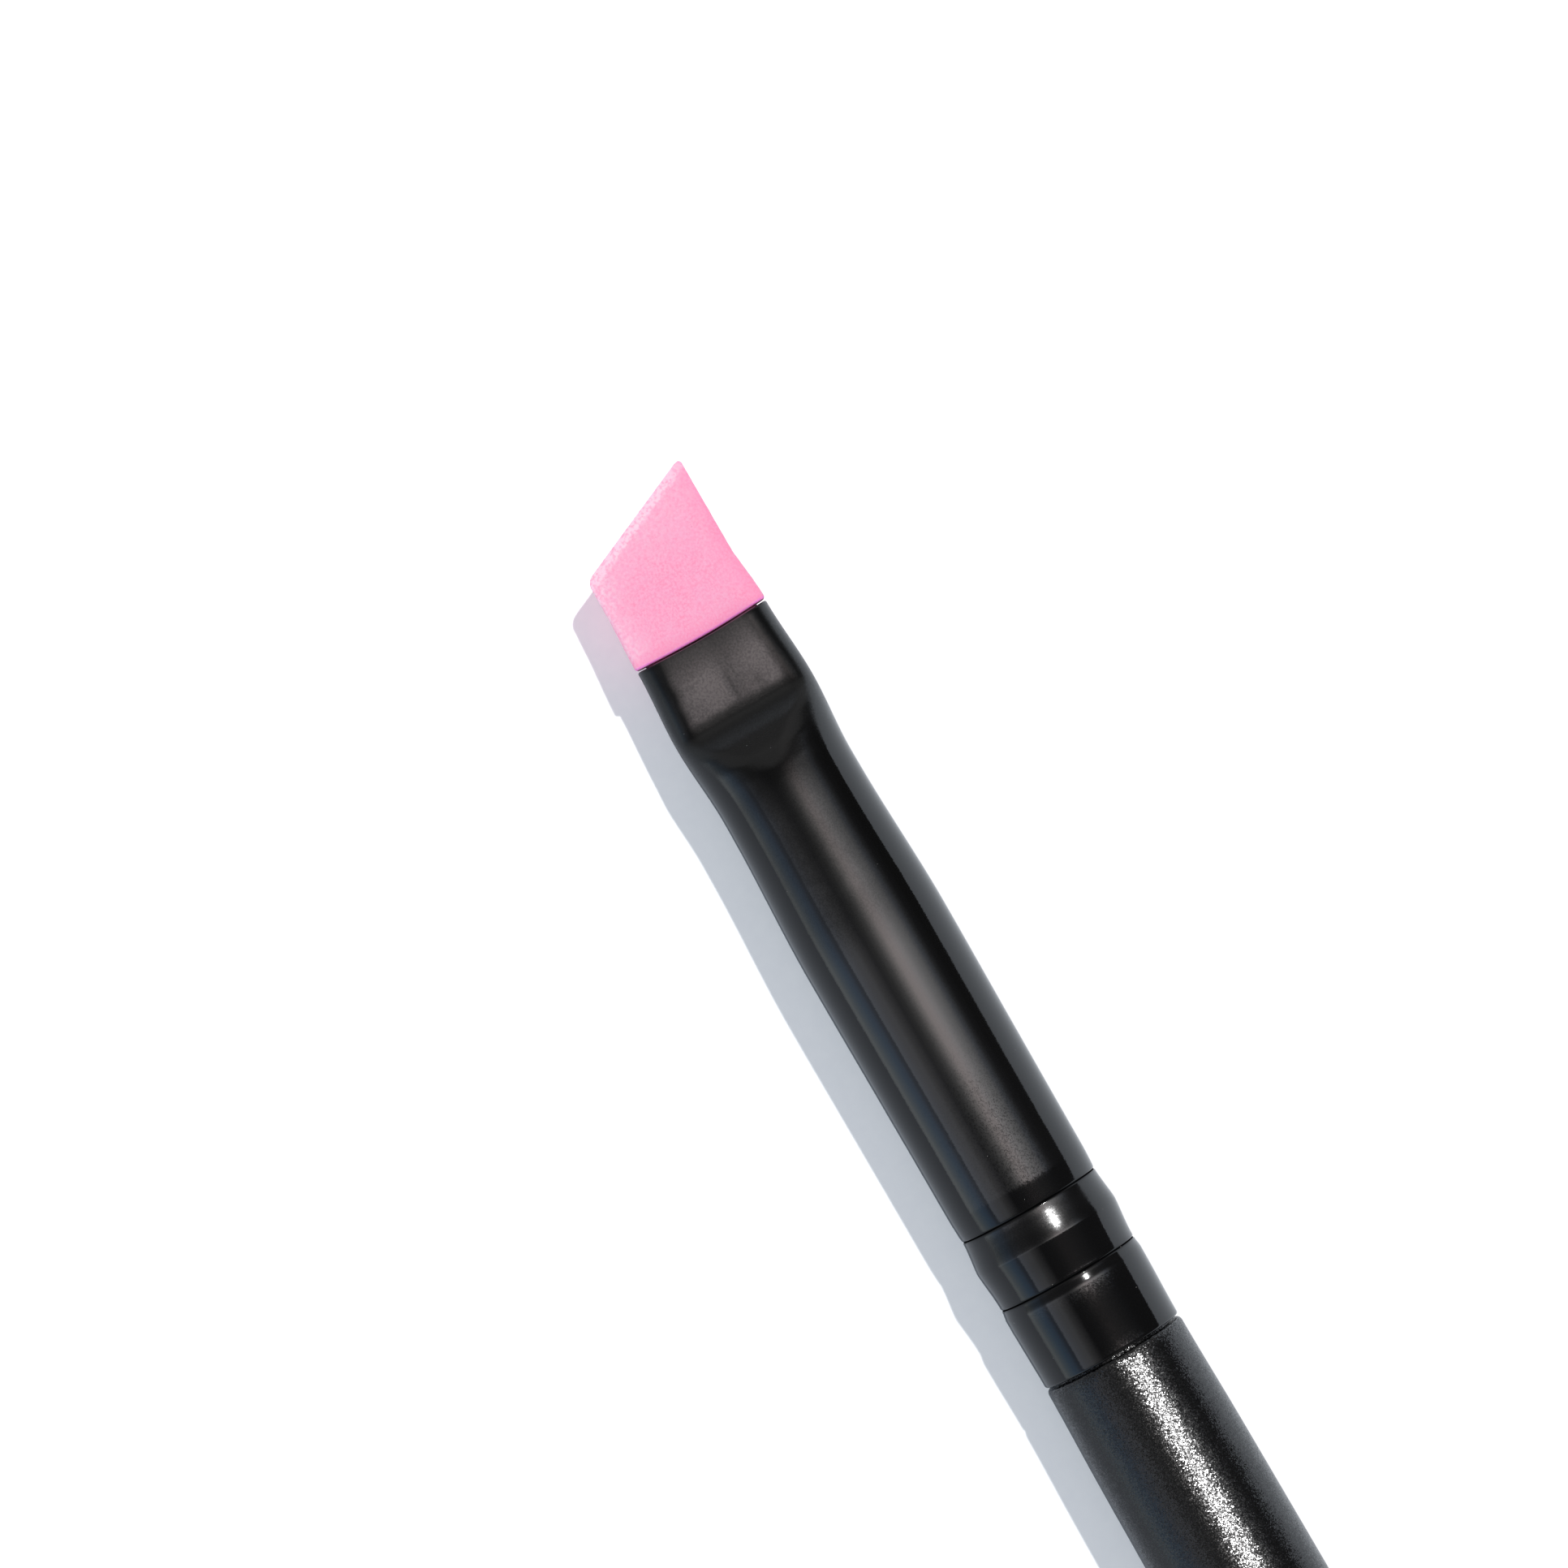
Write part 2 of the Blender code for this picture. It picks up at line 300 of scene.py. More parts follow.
WINDOW = (
    (-53.5, (0.0, 0.0, 0.0)),
    (-52, (0.8, 0.86, 0.95)),
    (-47, (0.74, 0.77, 0.86)),
    (-35, (0.69, 0.71, 0.76)),
    (-29, (0.42, 0.42, 0.43)),
    (-22, (0.2, 0.2, 0.21)),
    (-16, (0.0, 0.0, 0.0)),
)
SKY_CARD = (
    (-96, (0.5, 0.55, 0.6)),
    (-89, (0.95, 1.05, 1.1)),
    (-86, (1.2, 1.34, 1.38)),
    (-81, (0.92, 1.1, 1.22)),
    (-76, (0.72, 0.96, 1.2)),
    (-68, (0.48, 0.76, 1.12)),
    (-62, (0.42, 0.62, 0.92)),
    (-57, (0.3, 0.38, 0.52)),
    (-54, (0.3, 0.36, 0.46)),
    (-40, (0.15, 0.15, 0.15)),
    (-18, (0.05, 0.05, 0.05)),
)

# How each band fades along the brush. Each stop has an angle from overhead towards +X, and a share
FRONT_LIGHT_REACH = (
    (-15, 0.03),
    (-10, 0.1),
    (-6.4, 0.33),
    (-4.5, 0.5),
    (-2, 0.8),
    (3, 1.0),
    (3.5, 0.95),
    (4.5, 0.03),
)
WINDOW_REACH = ((-20, 0.0), (-7, 0.05), (-3.5, 0.25), (-0.5, 0.95), (2, 1.0), (14, 0.9), (24, 0.2))
SKY_CARD_REACH = ((-25, 0.2), (-12, 0.35), (-4, 0.6), (0, 0.95), (2, 1.0), (24, 0.9))

# What the gloss reflects besides the bands, by the same angle towards +X
AMBIENCE = ((-80, 0.2), (-50, 0.42), (-25, 0.38), (-16, 0.1), (0, 0.02), (30, 0.05), (80, 0.25))

# The silicone's colours
PINK = (0.6, 0.198, 0.302)
PINK_MOTTLE = (0.6, 0.278, 0.385)
PINK_CLOUD = (0.58, 0.275, 0.385)
# Pale pink of the painted sheen
PALE_SHEEN_PINK = (0.59, 0.405, 0.475)
DEEP_PINK = (0.6, 0.16, 0.285)
# A painted highlight along the rounded rim at the blade's base
RIM_HIGHLIGHT_PINK = (0.6, 0.16, 0.46)
SPECK_PINK = (0.4, 0.06, 0.14)
# Painted shade in the gap between the blade's base and the ferrule's lip
GAP_SHADE = (0.01, 0.002, 0.004)
SILICONE_SCATTER = (1.6, 0.5, 0.8)

# The coats' colours
LACQUER_BLACK = (0.0007, 0.0007, 0.0008)
# A painted brownish reflection, mixed into the black of the pressed faces
LACQUER_PAINTED_REFLECTION = (0.17, 0.14, 0.13)
DUST = (0.2, 0.19, 0.18)
PAINT_DARK = (0.0001, 0.0001, 0.0001)
PAINT_LIGHT = (0.0004, 0.0004, 0.0005)

# The other colours
EPOXY_YELLOW = (0.62, 0.5, 0.28)
EPOXY_CLOUD = (0.78, 0.7, 0.5)
EPOXY_BUBBLE = (0.9, 0.86, 0.75)
GLUE_DARK = (0.62, 0.5, 0.33)
GLUE_LIGHT = (0.84, 0.78, 0.62)
CARD_DARK = (0.84, 0.84, 0.845)
CARD_LIGHT = (0.86, 0.86, 0.86)
# Painted shade of the card where the brush's gloss reflects it, darker on the near side
REFLECTED_CARD_SHADE_NEAR = (0.34, 0.36, 0.39)
REFLECTED_CARD_SHADE_FAR = (0.62, 0.65, 0.68)
REFLECTED_CARD_SHADE_CHANGE = 2.0
WHITE = (1.0, 1.0, 1.0)
MID_GREY = (0.5, 0.5, 0.5)


def smoothly(points, station):
    """The value at a station on a smooth line through (station, value) points, with no overshoot."""
    if station <= points[0][0]:
        return points[0][1]
    for (s0, v0), (s1, v1) in zip(points, points[1:]):
        if station > s1:
            continue
        before = slope_at(points, s0)
        after = slope_at(points, s1)
        span = s1 - s0
        t = (station - s0) / span
        hermite = (2 * t**3 - 3 * t**2 + 1) * v0 + (3 * t**2 - 2 * t**3) * v1
        return hermite + span * ((t**3 - 2 * t**2 + t) * before + (t**3 - t**2) * after)
    return points[-1][1]


def slope_at(points, station):
    """The slope of the smooth line at one of its own points: flat at the ends and where it turns back."""
    for (s0, v0), (s1, v1), (s2, v2) in zip(points, points[1:], points[2:]):
        if s1 == station:
            first = (v1 - v0) / (s1 - s0)
            second = (v2 - v1) / (s2 - s1)
            if first * second <= 0:
                return 0.0
            return 2 * first * second / (first + second)
    return 0.0


def ease(t):
    """0 to 1 with level ends."""
    t = min(max(t, 0.0), 1.0)
    return t * t * (3 - 2 * t)


def fade(value, start, end):
    """1 up to the start, easing out to 0 at the end."""
    return 1 - ease((value - start) / (end - start))


def between(a, b, share):
    return a + (b - a) * share


def steps(first, last, count):
    """Evenly spaced values, both ends included."""
    return [between(first, last, index / count) for index in range(count + 1)]


def hill(distance, width):
    """1 at no distance, fading out over a width."""
    return math.exp(-0.5 * (distance / width) ** 2)


def marks_at(marks, station, y):
    """The sum of the marks at a point. Each has a station, distance across, length, width and height."""
    total = 0.0
    for at, across, length, width, height in marks:
        total += height * hill(station - at, length) * hill(y - across, width)
    return total


def wobble(amount, x, y, z):
    """A smooth unevenness of up to an amount either way."""
    return amount * noise.noise(Vector((x, y, z)))


def section(half_width, half_thickness, squareness=ROUND, middle=0.0):
    """The (y, z) points of an ellipse, or of a squarer form with flatter faces."""
    curve = []
    for angle in steps(0.0, math.pi / 2, CURVE_STEPS):
        across = half_width * max(math.cos(angle), 0.0) ** (2 / squareness)
        curve.append((across, half_thickness * math.sin(angle) ** (2 / squareness)))
    return all_round(curve, middle)


def pressed_section(half_width, half_thickness, flat):
    """The (y, z) points of a pressed tube: level faces as wide as the flat, and elliptical sides."""
    curve = []
    for angle in steps(0.0, math.pi / 2, CURVE_STEPS):
        across = flat + (half_width - flat) * math.cos(angle)
        curve.append((across, half_thickness * math.sin(angle)))
    curve.append((0.0, half_thickness))
    return all_round(curve)


def all_round(curve, middle=0.0):
    """The points of a whole cross-section in even steps, from a fine curve over its first quarter."""
    lengths = [0.0]
    for (y0, z0), (y1, z1) in zip(curve, curve[1:]):
        lengths.append(lengths[-1] + math.hypot(y1 - y0, z1 - z0))
    quarter = [curve[0]]
    index = 0
    for side in range(1, SIDES // 4):
        distance = lengths[-1] * side / (SIDES // 4)
        while lengths[index + 1] < distance:
            index += 1
        share = (distance - lengths[index]) / (lengths[index + 1] - lengths[index])
        (y0, z0), (y1, z1) = curve[index], curve[index + 1]
        quarter.append((between(y0, y1, share), between(z0, z1, share)))
    points = quarter + [curve[-1]]
    points += [(-y, z) for y, z in reversed(quarter)]
    points += [(y, -z) for y, z in reversed(points[1:-1])]
    return [(y + middle, z) for y, z in points]


def ring(station, points):
    """A cross-section set at a station of the axis."""
    return [(station, y, z) for y, z in points]


def round_ring(station, radius):
    return ring(station, section(radius, radius))


def place(point):
    """A (station, y, z) point in millimetres as a position in metres."""
    station, y, z = point
    return (MOUTH_X + station * MM, y * MM, AXIS_Z + z * MM)


def loft(name, rings, material, tube=False):
    """A closed solid through the rings. A tube joins its last ring to its first, and has no end caps."""
    mesh = bmesh.new()
    rows = [[mesh.verts.new(place(point)) for point in points] for points in rings]
    pairs = list(zip(rows, rows[1:]))
    if tube:
        pairs.append((rows[-1], rows[0]))
    for near, far in pairs:
        for side in range(SIDES):
            after = (side + 1) % SIDES
            mesh.faces.new((near[side], near[after], far[after], far[side]))
    if not tube:
        mesh.faces.new(rows[-1])
        mesh.faces.new(rows[0])
    bmesh.ops.recalc_face_normals(mesh, faces=mesh.faces)
    data = bpy.data.meshes.new(name)
    mesh.to_mesh(data)
    mesh.free()
    data.shade_smooth()
    data.set_sharp_from_angle(angle=SHARP_ANGLE)
    data.materials.append(material)
    made = bpy.data.objects.new(name, data)
    bpy.context.scene.collection.objects.link(made)
    return made


def crimp_offset(station):
    """How far the crimps and their two scored grooves move the ferrule's surface at a station."""
    offset = smoothly(CRIMPS, station)
    for groove in GROOVE_STATIONS:
        offset -= GROOVE_DEPTH * fade(abs(station - groove), 0.0, GROOVE_HALF_WIDTH)
    return offset


def pressed_flat(station):
    """Half the width of the level faces at a station of the pressed length."""
    return between(MOUTH_FLAT, PRESSED_END_FLAT, station / PRESSED_LENGTH)


def ferrule_shape(station):
    """The ferrule's half width, half thickness and flat at a station. Past the pressed length the thickness
    grows and the flats narrow, until the tube is round."""
    if station <= PRESSED_LENGTH:
        half_width = between(MOUTH_HALF_WIDTH, PRESSED_END_HALF_WIDTH, ease(station / PRESSED_LENGTH))
        return half_width, smoothly(HALF_HEIGHTS, station), pressed_flat(station)
    opened = ease((station - PRESSED_LENGTH) / (ROUND_FROM - PRESSED_LENGTH))
    crimp = crimp_offset(station)
    half_width = between(PRESSED_END_HALF_WIDTH, smoothly(HALF_WIDTHS, station) + crimp, opened)
    flat = PRESSED_END_FLAT * (1 - opened) ** 2
    return half_width, smoothly(HALF_HEIGHTS, station) + crimp, flat


def mouth_bow(station, y):
    """The mouth's edge bows in towards the tail at the middle. The bow fades along the pressed length."""
    bow = MOUTH_BOW * max(0.0, 1 - (y / MOUTH_HALF_WIDTH) ** 2)
    return bow * fade(station, 0.0, MOUTH_BOW_LENGTH)


def dent(station, y, z):
    """How far the dents and a little roughness move the pressed faces out."""
    height = marks_at(DENTS, station, math.copysign(1.0, z) * y)
    height += wobble(DENT_ROUGHNESS, station * 1.3, y * 1.1, 5.0 + math.copysign(3.0, z))
    facing = ease((abs(z) / PRESSED_HALF_THICKNESS - 0.75) / 0.25)
    return height * facing * fade(station, *DENT_FADE)


def ferrule_ring(station, inset=0.0, dented=False):
    half_width, half_thickness, flat = ferrule_shape(station)
    points = []
    for y, z in pressed_section(half_width - inset, half_thickness - inset, flat):
        if dented and station < PRESSED_LENGTH + DENTED_PAST_PRESSED:
            z += math.copysign(dent(station, y, z), z)
        points.append((station + mouth_bow(station, y), y, z))
    return points


def crimp_stations(first, last, count):
    """Stations between two others, with extra ones across the scored grooves."""
    found = steps(first, last, count)
    for groove in GROOVE_STATIONS:
        found += steps(groove - GROOVE_HALF_WIDTH, groove + GROOVE_HALF_WIDTH, 8)
    return sorted(set(s for s in found if first <= s <= last))


def make_ferrule(material):
    """The tube: its rounded lip, its outside with dents and crimps, its rounded back edge, and its bore."""
    rings = []
    for turn in steps(0.0, math.pi / 2, 5)[:-1]:
        inset = LIP_ROUND * (1 - math.sin(turn))
        station = LIP_ROUND * (1 - math.cos(turn))
        rings.append(ferrule_ring(station, inset, dented=True))
    rings += [ferrule_ring(s, dented=True) for s in steps(LIP_ROUND, ROUND_FROM, 70)]
    rings += [ferrule_ring(s) for s in steps(ROUND_FROM, BARREL_END, 60)[1:]]
    back = FERRULE_LENGTH - LIP_ROUND
    rings += [ferrule_ring(s) for s in crimp_stations(CRIMPS_FROM, back, 126)]
    for turn in steps(math.pi / 2, 0.0, 5)[1:]:
        inset = LIP_ROUND * (1 - math.sin(turn))
        rings.append(ferrule_ring(back + LIP_ROUND * math.cos(turn), inset))
    bore = [LIP_ROUND / 2, *steps(0.5, ROUND_FROM, 24), *steps(8.0, BARREL_END, 12)]
    bore += crimp_stations(BARREL_END + 0.4, back, 16)
    rings += [ferrule_ring(s, FERRULE_WALL) for s in reversed(bore)]
    made = loft("ferrule_shell", rings, material, tube=True)
    # Stores where the lacquer is satin, where a painted reflection lies on it, and where its gloss is turned
    # off as painted shade
    paint(made, satin=satin_at, haze=haze_at, score=score_at)
    return made


def haze_at(station, y):
    """How strong the painted reflection on the pressed faces is, shown as a brownish haze: in two lobes,
    with a crease and a notch between them.
    """
    edge = pressed_flat(station) + wobble(PAINTED_REFLECTION_SIDE_WAVE, station * 1.5, math.copysign(3.0, y), 6.0)
    across = fade(abs(y - PAINTED_REFLECTION_MIDDLE) - edge, *PAINTED_REFLECTION_SIDE_FADE)
    front = between(PAINTED_REFLECTION_AT_MOUTH, 1.0, ease(station / PAINTED_REFLECTION_FULL_FROM))
    back = fade(station + wobble(PAINTED_REFLECTION_BACK_WAVE, y * 1.4, 0.0, 2.0), *PAINTED_REFLECTION_BACK_FADE)
    return across * front * back * (PAINTED_REFLECTION_LEVEL + marks_at(PAINTED_REFLECTION_MARKS, station, y))


def satin_at(station, _):
    """How satin the lacquer is: where the tube was pressed, and a little in front of the bead."""
    crimped = SATIN_RING_SHARE * hill(station - SATIN_RING, SATIN_RING_WIDTH)
    return fade(station, *SATIN_FADE) + crimped


def score_at(station, y):
    """Where the lacquer's gloss is turned off as painted shade: in the scored grooves, and at the corners of
    the pressed faces.
    """
    scored = sum(hill(station - groove, GROOVE_SHADE_WIDTH) for groove in GROOVE_STATIONS)
    past_flat = abs(y) - PRESSED_END_FLAT - CORNER_SHADE_PAST_FLAT
    corner_shade = CORNER_SHADE * hill(past_flat, CORNER_SHADE_WIDTH) * fade(station, *CORNER_SHADE_FADE)
    return max(scored, corner_shade)


def paint(made, **looks):
    """Stores the value of each look at every point of a mesh. Its material reads a look by its name."""
    for name, look_at in looks.items():
        stored = made.data.attributes.new(name, "FLOAT", "POINT")
        for vertex, entry in zip(made.data.vertices, stored.data):
            entry.value = look_at((vertex.co.x - MOUTH_X) / MM, vertex.co.y / MM)


def slanted_edge(y):
    """The station of the slanted edge at a distance across the blade."""
    return -BLADE_SHORT_SIDE - BLADE_RISE * (y - BLADE_LEFT)


def blade_half_thickness(share):
    """The blade is thinner than the ferrule at its base, thins out in a wedge, and ends in a bevel."""
    if share <= BEVEL_SHARE:
        return between(BASE_HALF_THICKNESS, EDGE_HALF_THICKNESS, (share / BEVEL_SHARE) ** WEDGE_POWER)
    bevel = (share - BEVEL_SHARE) / (1 - BEVEL_SHARE)
    return between(EDGE_HALF_THICKNESS, EDGE_END_HALF_THICKNESS, bevel**BEVEL_POWER)


def corner(distance, radius):
    """How far a rounded corner takes a side in, at a distance from the slanted edge."""
    if distance >= radius:
        return 0.0
    return radius - math.sqrt(max(radius**2 - (radius - distance) ** 2, 0.0))


def blade_ring(share, inset=0.0):
    """A ring of the blade, at a share of the way from its base to its edge. It slants as the edge does."""
    left_station = share * slanted_edge(BLADE_LEFT)
    right_station = share * slanted_edge(BLADE_RIGHT)
    left = BLADE_LEFT - LEFT_FLARE * fade(-left_station, 0.0, FLARE_LENGTH) + inset
    right = BLADE_RIGHT + RIGHT_FLARE * fade(-right_station, 0.0, FLARE_LENGTH) - inset
    left += corner((1 - share) * BLADE_SHORT_SIDE, LEFT_CORNER_ROUND)
    right -= corner((1 - share) * BLADE_LONG_SIDE, RIGHT_CORNER_ROUND)
    left += wobble(LEFT_WAVE, left_station * 1.7, 0.0, 1.0)
    right += wobble(RIGHT_WAVE, right_station * 2.3, 0.0, 7.0)
    half_thickness = blade_half_thickness(share) - inset
    points = section((right - left) / 2, half_thickness, BLADE_SQUARENESS, (left + right) / 2)
    made = []
    for y, z in points:
        bow = mouth_bow(0.0, y) * fade(share, 0.0, BASE_BOW_SHARE)
        station = share * slanted_edge(y) - BASE_GAP + bow
        made.append((station, y, z + wobble(FACE_WAVE, station * 1.1, y * 1.1, z)))
    return made


def make_silicone_tip(material):
    """The tang in the ferrule and the blade in front of it, in one piece."""
    tang = section(TANG_HALF_WIDTH, TANG_HALF_THICKNESS, TANG_SQUARENESS)
    tang_end = section(TANG_HALF_WIDTH - TANG_ROUND, TANG_HALF_THICKNESS - TANG_ROUND, TANG_SQUARENESS)
    rings = [ring(TANG_END, tang_end), ring(TANG_END - TANG_ROUND, tang)]
    rings += [ring(s, tang) for s in steps(4.0, TANG_FRONT, 4)]
    base = blade_ring(0.0, BASE_ROUND)
    rings.append([(s, y * NECK_WIDTH_SHARE, z * NECK_HEIGHT_SHARE) for s, y, z in base])
    for turn in steps(0.0, math.pi / 2, 6):
        lead = BASE_ROUND * (1 - math.cos(turn))
        rounded = blade_ring(0.0, BASE_ROUND * (1 - math.sin(turn)))
        rings.append([(s - lead, y, z) for s, y, z in rounded])
    rings += [blade_ring(share) for share in steps(0.04, BEVEL_SHARE - 0.005, 66)]
    rings += [blade_ring(share) for share in steps(BEVEL_SHARE, 0.995, 12)]
    rings.append(blade_ring(1.0, 0.04))
    made = loft("silicone_tip", rings, material)
    paint(made, pale=pale_sheen_at, deep=deep_at, rim=rim_highlight_at, gap=gap_shade_at)
    return made


def to_base(station, y):
    """The distance from the ferrule's mouth towards the blade."""
    return mouth_bow(0.0, y) - station


def streak_distance(station, y):
    """The distance from the faint moulding streak on the blade's face."""
    (s0, y0), (s1, y1) = STREAK_FROM, STREAK_TO
    t = ((station - s0) * (s1 - s0) + (y - y0) * (y1 - y0)) / ((s1 - s0) ** 2 + (y1 - y0) ** 2)
    t = min(max(t, 0.0), 1.0)
    bow = STREAK_BOW * math.sin(math.pi * t)
    return math.hypot(station - between(s0, s1, t), y - between(y0, y1, t) - bow)


def pale_sheen_at(station, y):
    """How much painted sheen pales the silicone where it is thin and along its left side, and the painted
    highlight of the streak.
    """
    share = max(station / slanted_edge(y), 0.0)
    edge = fade(station - slanted_edge(y), *EDGE_SHEEN_FADE)
    wedge = PALE_WEDGE * ease((share - PALE_WEDGE_FROM) / PALE_WEDGE_LENGTH)
    left = LEFT_SHEEN * hill(y - BLADE_LEFT, LEFT_SHEEN_WIDTH)
    streak = STREAK_HIGHLIGHT * hill(streak_distance(station, y), STREAK_WIDTH)
    return min(max(edge, wedge) + left + streak, 1.0)


def deep_at(station, y):
    """How deep the colour is, near the base and on the right side."""
    side = DEEP_SIDE * hill(y - BLADE_RIGHT, DEEP_SIDE_WIDTH)
    return max(fade(to_base(station, y), *DEEP_BASE_FADE), side)


# Where a painted highlight lies along the rounded rim at the blade's base
def rim_highlight_at(station, y):
    return hill(to_base(station, y) - BASE_RIM, BASE_RIM_WIDTH)


# Where painted shade darkens the gap between the blade's base and the ferrule's mouth
def gap_shade_at(station, y):
    return fade(to_base(station, y), *GAP_SHADE_FADE)


def make_tip_epoxy(material):
    """The casting that fills the ferrule behind the pressed length, with the tang's end in its pocket."""
    pocket = section(TANG_HALF_WIDTH + FIT_GAP, TANG_HALF_THICKNESS + FIT_GAP, TANG_SQUARENESS)
    rings = [ring(TANG_END + FIT_GAP, pocket), ring(EPOXY_FRONT, pocket)]
    rings += [ferrule_ring(s, FERRULE_WALL + FIT_GAP) for s in steps(EPOXY_FRONT, ROUND_FROM, 24)]
    for turn in steps(0.0, 1.0, 6):
        station = EPOXY_BACK - EPOXY_ROUND_LENGTH * (1 - turn)
        rings.append(ferrule_ring(station, FERRULE_WALL + FIT_GAP + EPOXY_ROUND_DEPTH * turn**2))
    return loft("epoxy_casting", rings, material)


def make_tenon_glue(material):
    """The film of glue between the tenon and the ferrule's bore."""
    stations = crimp_stations(GLUE_FRONT, GLUE_BACK, 80)
    outside = [ferrule_ring(s, FERRULE_WALL + FIT_GAP) for s in stations]
    inside = [ferrule_ring(s, FERRULE_WALL + FIT_GAP + GLUE_FILM) for s in reversed(stations)]
    return loft("glue_film", outside + inside, material, tube=True)


def handle_radius(station):
    return smoothly(HANDLE_RADII, station) + wobble(HANDLE_WAVE, station * 0.35, 2.0, 0.0)


def handle_rim_at(station, _):
    return fade(station - SHOULDER_STATION, *RIM_FADE)


def shoulder_rings():
    """The rings round the shoulder's edge, a little uneven where the paint has gathered."""
    full_radius = handle_radius(SHOULDER_STATION + SHOULDER_ROUND)
    rings = []
    for turn in steps(0.0, math.pi / 2, 8):
        station = SHOULDER_STATION + SHOULDER_ROUND * (1 - math.cos(turn))
        radius = full_radius - SHOULDER_INSET * (1 - math.sin(turn))
        wave = SHOULDER_WAVE * math.cos(turn)
        points = section(radius, radius)
        rings.append([(station + wobble(wave, y * 2.5, z * 2.5, 3.0), y, z) for y, z in points])
    return rings


def make_handle(material):
    """The tenon, the rounded shoulder, and the long outline from the belly to the rounded tail."""
    inset = FERRULE_WALL + 2 * FIT_GAP + GLUE_FILM
    tenon = crimp_stations(TENON_FRONT + TENON_CHAMFER, FERRULE_LENGTH, 80)
    rings = [ferrule_ring(TENON_FRONT, inset + TENON_CHAMFER)]
    rings += [ferrule_ring(s, inset) for s in [*tenon, SHOULDER_STATION]]
    rings += shoulder_rings()
    for station in steps(SHOULDER_STATION + SHOULDER_ROUND + 0.3, TAIL_END - TAIL_ROUND, 150):
        rings.append(round_ring(station, handle_radius(station)))
    tail_radius = handle_radius(TAIL_END - TAIL_ROUND)
    for turn in steps(math.pi / 24, math.pi / 2 - math.pi / 60, 16):
        station = TAIL_END - TAIL_ROUND + TAIL_ROUND * math.sin(turn)
        rings.append(round_ring(station, tail_radius * math.cos(turn)))
    made = loft("painted_handle", rings, material)
    paint(made, rim=handle_rim_at)
    return made


